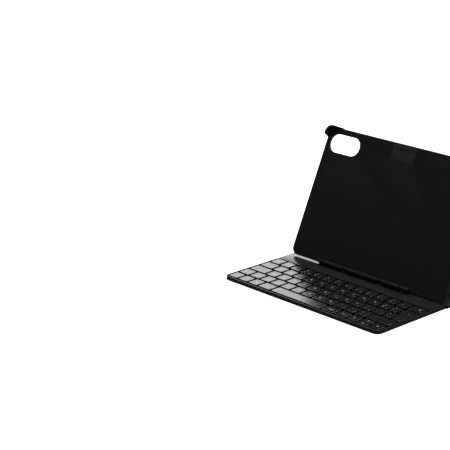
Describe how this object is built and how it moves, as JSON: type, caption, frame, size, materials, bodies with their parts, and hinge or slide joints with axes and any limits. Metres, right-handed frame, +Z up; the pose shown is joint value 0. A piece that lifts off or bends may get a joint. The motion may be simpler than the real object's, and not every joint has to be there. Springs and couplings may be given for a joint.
{
  "type": "tablet keyboard case",
  "caption": "Folding tablet keyboard case: a thin keyboard base, a tilted back panel with camera window and hinged foot, and a rear support flap.",
  "frame": {"origin": "on the table, under the middle of the base's depth and width", "axes": "+X across the keyboard to the typist's right, +Y from the typist towards the standing panel, +Z up"},
  "size_m": [0.2646, 0.1982, 0.1722],
  "materials": {
    "soft_skin": "fine-grained matte polyurethane skin",
    "fold_skin": "bare folded skin along a crease",
    "lining": "very smooth matte lining",
    "shell": "moulded satin plastic",
    "deck": "satin painted top plate",
    "keycap": "satin keycaps with pale printed legends",
    "black_metal": "black anodised sheet",
    "membrane": "printed black film",
    "dome_rubber": "moulded silicone",
    "scissor_plastic": "glass-filled plastic",
    "board_green": "solder-masked board",
    "magnet": "nickel-plated magnet",
    "hinge_black": "black moulded plastic",
    "pin_steel": "ground steel",
    "trim": "polished moulded ring",
    "bumper": "soft-touch moulding",
    "ledge": "satin moulding",
    "contact_gold": "gold-plated contacts",
    "inlay": "smooth inlay"
  },
  "bodies": {
    "base": {"bottom_cover": "soft_skin", "chassis": "shell", "deck_plate": "deck", "support_plate": "black_metal", "key_membrane": "membrane", "rubber_domes": "dome_rubber", "scissor_frames": "scissor_plastic", "circuit_board": "board_green", "deck_magnets": "magnet", "rear_board": "shell", "rear_cover": "soft_skin", "spine_hinge": "fold_skin"},
    "foot": {"foot_bar": "hinge_black", "hinge_pin": "pin_steel", "foot_magnets": "magnet"},
    "panel": {"panel_board": "shell", "panel_lining": "lining", "panel_back_cover": "soft_skin", "panel_magnets": "magnet", "camera_trim": "trim", "corner_bumper": "bumper", "tablet_ledge": "ledge", "contact_block": "hinge_black", "contact_pins": "contact_gold", "pen_window": "inlay", "crease_hinge": "fold_skin"},
    "flap": {"flap_board": "shell", "flap_cover": "soft_skin"},
    "spine": {"spine_cover": "soft_skin"},
    "key_escape": {"key_escape": "keycap"},
    "key_tab": {"key_tab": "keycap"},
    "key_caps": {"key_caps": "keycap"},
    "key_shift_left": {"key_shift_left": "keycap"},
    "key_angle": {"key_angle": "keycap"},
    "key_control_left": {"key_control_left": "keycap"},
    "key_function": {"key_function": "keycap"},
    "key_meta": {"key_meta": "keycap"},
    "key_alt_left": {"key_alt_left": "keycap"},
    "key_space": {"key_space": "keycap"},
    "key_alt_right": {"key_alt_right": "keycap"},
    "key_control_right": {"key_control_right": "keycap"},
    "key_arrow_left": {"key_arrow_left": "keycap"},
    "key_arrow_up": {"key_arrow_up": "keycap"},
    "key_arrow_down": {"key_arrow_down": "keycap"},
    "key_arrow_right": {"key_arrow_right": "keycap"},
    "key_shift_right": {"key_shift_right": "keycap"},
    "key_enter": {"key_enter": "keycap"},
    "key_backspace": {"key_backspace": "keycap"},
    "keys_z_a_q_1": {"keys_z_a_q_1": "keycap"},
    "keys_x_s_w_2": {"keys_x_s_w_2": "keycap"},
    "keys_c_d_e_3": {"keys_c_d_e_3": "keycap"},
    "keys_v_f_r_4": {"keys_v_f_r_4": "keycap"},
    "keys_b_g_t_5": {"keys_b_g_t_5": "keycap"},
    "keys_n_h_y_6": {"keys_n_h_y_6": "keycap"},
    "keys_m_j_u_7": {"keys_m_j_u_7": "keycap"},
    "keys_comma_k_i_8": {"keys_comma_k_i_8": "keycap"},
    "keys_period_l_o_9": {"keys_period_l_o_9": "keycap"},
    "keys_slash_semicolon_p_0": {"keys_slash_semicolon_p_0": "keycap"},
    "keys_quote_bracket_left_minus": {"keys_quote_bracket_left_minus": "keycap"},
    "keys_hash_bracket_right_equals": {"keys_hash_bracket_right_equals": "keycap"}
  },
  "joints": [
    {"name": "foot_slide", "type": "slide", "parent": "base", "child": "foot", "axis": [0, 1, 0], "range_m": [0, 0.05539]},
    {"name": "panel_fold", "type": "hinge", "parent": "foot", "child": "panel", "pos_m": [0, 0.02867, 0.0101], "axis": [1, 0, 0], "range_deg": [0, 114.27]},
    {"name": "flap_fold", "type": "hinge", "parent": "panel", "child": "flap", "pos_m": [0, 0.05774, 0.06062], "axis": [1, 0, 0], "range_deg": [-65.69, 0]},
    {"name": "spine_fold", "type": "hinge", "parent": "base", "child": "spine", "pos_m": [0, 0.09125, 0.0025], "axis": [1, 0, 0], "range_deg": [0, 46.23]},
    {"name": "key_escape_press", "type": "slide", "parent": "base", "child": "key_escape", "axis": [0, 0, -1], "range_m": [0, 0.0012], "stiffness_N_per_m": 300, "springref_m": -0.0008, "deforming": ["rubber_domes", "scissor_frames"]},
    {"name": "key_tab_press", "type": "slide", "parent": "base", "child": "key_tab", "axis": [0, 0, -1], "range_m": [0, 0.0012], "stiffness_N_per_m": 300, "springref_m": -0.0008, "deforming": ["rubber_domes", "scissor_frames"]},
    {"name": "key_caps_press", "type": "slide", "parent": "base", "child": "key_caps", "axis": [0, 0, -1], "range_m": [0, 0.0012], "stiffness_N_per_m": 300, "springref_m": -0.0008, "deforming": ["rubber_domes", "scissor_frames"]},
    {"name": "key_shift_left_press", "type": "slide", "parent": "base", "child": "key_shift_left", "axis": [0, 0, -1], "range_m": [0, 0.0012], "stiffness_N_per_m": 300, "springref_m": -0.0008, "deforming": ["rubber_domes", "scissor_frames"]},
    {"name": "key_angle_press", "type": "slide", "parent": "base", "child": "key_angle", "axis": [0, 0, -1], "range_m": [0, 0.0012], "stiffness_N_per_m": 300, "springref_m": -0.0008, "deforming": ["rubber_domes", "scissor_frames"]},
    {"name": "key_control_left_press", "type": "slide", "parent": "base", "child": "key_control_left", "axis": [0, 0, -1], "range_m": [0, 0.0012], "stiffness_N_per_m": 300, "springref_m": -0.0008, "deforming": ["rubber_domes", "scissor_frames"]},
    {"name": "key_function_press", "type": "slide", "parent": "base", "child": "key_function", "axis": [0, 0, -1], "range_m": [0, 0.0012], "stiffness_N_per_m": 300, "springref_m": -0.0008, "deforming": ["rubber_domes", "scissor_frames"]},
    {"name": "key_meta_press", "type": "slide", "parent": "base", "child": "key_meta", "axis": [0, 0, -1], "range_m": [0, 0.0012], "stiffness_N_per_m": 300, "springref_m": -0.0008, "deforming": ["rubber_domes", "scissor_frames"]},
    {"name": "key_alt_left_press", "type": "slide", "parent": "base", "child": "key_alt_left", "axis": [0, 0, -1], "range_m": [0, 0.0012], "stiffness_N_per_m": 300, "springref_m": -0.0008, "deforming": ["rubber_domes", "scissor_frames"]},
    {"name": "key_space_press", "type": "slide", "parent": "base", "child": "key_space", "axis": [0, 0, -1], "range_m": [0, 0.0012], "stiffness_N_per_m": 300, "springref_m": -0.0008, "deforming": ["rubber_domes", "scissor_frames"]},
    {"name": "key_alt_right_press", "type": "slide", "parent": "base", "child": "key_alt_right", "axis": [0, 0, -1], "range_m": [0, 0.0012], "stiffness_N_per_m": 300, "springref_m": -0.0008, "deforming": ["rubber_domes", "scissor_frames"]},
    {"name": "key_control_right_press", "type": "slide", "parent": "base", "child": "key_control_right", "axis": [0, 0, -1], "range_m": [0, 0.0012], "stiffness_N_per_m": 300, "springref_m": -0.0008, "deforming": ["rubber_domes", "scissor_frames"]},
    {"name": "key_arrow_left_press", "type": "slide", "parent": "base", "child": "key_arrow_left", "axis": [0, 0, -1], "range_m": [0, 0.0012], "stiffness_N_per_m": 300, "springref_m": -0.0008, "deforming": ["rubber_domes", "scissor_frames"]},
    {"name": "key_arrow_up_press", "type": "slide", "parent": "base", "child": "key_arrow_up", "axis": [0, 0, -1], "range_m": [0, 0.0012], "stiffness_N_per_m": 300, "springref_m": -0.0008, "deforming": ["rubber_domes", "scissor_frames"]},
    {"name": "key_arrow_down_press", "type": "slide", "parent": "base", "child": "key_arrow_down", "axis": [0, 0, -1], "range_m": [0, 0.0012], "stiffness_N_per_m": 300, "springref_m": -0.0008, "deforming": ["rubber_domes", "scissor_frames"]},
    {"name": "key_arrow_right_press", "type": "slide", "parent": "base", "child": "key_arrow_right", "axis": [0, 0, -1], "range_m": [0, 0.0012], "stiffness_N_per_m": 300, "springref_m": -0.0008, "deforming": ["rubber_domes", "scissor_frames"]},
    {"name": "key_shift_right_press", "type": "slide", "parent": "base", "child": "key_shift_right", "axis": [0, 0, -1], "range_m": [0, 0.0012], "stiffness_N_per_m": 300, "springref_m": -0.0008, "deforming": ["rubber_domes", "scissor_frames"]},
    {"name": "key_enter_press", "type": "slide", "parent": "base", "child": "key_enter", "axis": [0, 0, -1], "range_m": [0, 0.0012], "stiffness_N_per_m": 300, "springref_m": -0.0008, "deforming": ["rubber_domes", "scissor_frames"]},
    {"name": "key_backspace_press", "type": "slide", "parent": "base", "child": "key_backspace", "axis": [0, 0, -1], "range_m": [0, 0.0012], "stiffness_N_per_m": 300, "springref_m": -0.0008, "deforming": ["rubber_domes", "scissor_frames"]},
    {"name": "keys_z_a_q_1_press", "type": "slide", "parent": "base", "child": "keys_z_a_q_1", "axis": [0, 0, -1], "range_m": [0, 0.0012], "stiffness_N_per_m": 300, "springref_m": -0.0008, "deforming": ["rubber_domes", "scissor_frames"]},
    {"name": "keys_x_s_w_2_press", "type": "slide", "parent": "base", "child": "keys_x_s_w_2", "axis": [0, 0, -1], "range_m": [0, 0.0012], "stiffness_N_per_m": 300, "springref_m": -0.0008, "deforming": ["rubber_domes", "scissor_frames"]},
    {"name": "keys_c_d_e_3_press", "type": "slide", "parent": "base", "child": "keys_c_d_e_3", "axis": [0, 0, -1], "range_m": [0, 0.0012], "stiffness_N_per_m": 300, "springref_m": -0.0008, "deforming": ["rubber_domes", "scissor_frames"]},
    {"name": "keys_v_f_r_4_press", "type": "slide", "parent": "base", "child": "keys_v_f_r_4", "axis": [0, 0, -1], "range_m": [0, 0.0012], "stiffness_N_per_m": 300, "springref_m": -0.0008, "deforming": ["rubber_domes", "scissor_frames"]},
    {"name": "keys_b_g_t_5_press", "type": "slide", "parent": "base", "child": "keys_b_g_t_5", "axis": [0, 0, -1], "range_m": [0, 0.0012], "stiffness_N_per_m": 300, "springref_m": -0.0008, "deforming": ["rubber_domes", "scissor_frames"]},
    {"name": "keys_n_h_y_6_press", "type": "slide", "parent": "base", "child": "keys_n_h_y_6", "axis": [0, 0, -1], "range_m": [0, 0.0012], "stiffness_N_per_m": 300, "springref_m": -0.0008, "deforming": ["rubber_domes", "scissor_frames"]},
    {"name": "keys_m_j_u_7_press", "type": "slide", "parent": "base", "child": "keys_m_j_u_7", "axis": [0, 0, -1], "range_m": [0, 0.0012], "stiffness_N_per_m": 300, "springref_m": -0.0008, "deforming": ["rubber_domes", "scissor_frames"]},
    {"name": "keys_comma_k_i_8_press", "type": "slide", "parent": "base", "child": "keys_comma_k_i_8", "axis": [0, 0, -1], "range_m": [0, 0.0012], "stiffness_N_per_m": 300, "springref_m": -0.0008, "deforming": ["rubber_domes", "scissor_frames"]},
    {"name": "keys_period_l_o_9_press", "type": "slide", "parent": "base", "child": "keys_period_l_o_9", "axis": [0, 0, -1], "range_m": [0, 0.0012], "stiffness_N_per_m": 300, "springref_m": -0.0008, "deforming": ["rubber_domes", "scissor_frames"]},
    {"name": "keys_slash_semicolon_p_0_press", "type": "slide", "parent": "base", "child": "keys_slash_semicolon_p_0", "axis": [0, 0, -1], "range_m": [0, 0.0012], "stiffness_N_per_m": 300, "springref_m": -0.0008, "deforming": ["rubber_domes", "scissor_frames"]},
    {"name": "keys_quote_bracket_left_minus_press", "type": "slide", "parent": "base", "child": "keys_quote_bracket_left_minus", "axis": [0, 0, -1], "range_m": [0, 0.0012], "stiffness_N_per_m": 300, "springref_m": -0.0008, "deforming": ["rubber_domes", "scissor_frames"]},
    {"name": "keys_hash_bracket_right_equals_press", "type": "slide", "parent": "base", "child": "keys_hash_bracket_right_equals", "axis": [0, 0, -1], "range_m": [0, 0.0012], "stiffness_N_per_m": 300, "springref_m": -0.0008, "deforming": ["rubber_domes", "scissor_frames"]}
  ],
  "couplings": [
    {"joint": "foot_slide", "follows": "panel_fold", "m_per_rad": 0.027769},
    {"joint": "flap_fold", "follows": "panel_fold", "ratio": -0.57479},
    {"joint": "spine_fold", "follows": "panel_fold", "ratio": 0.40446}
  ]
}
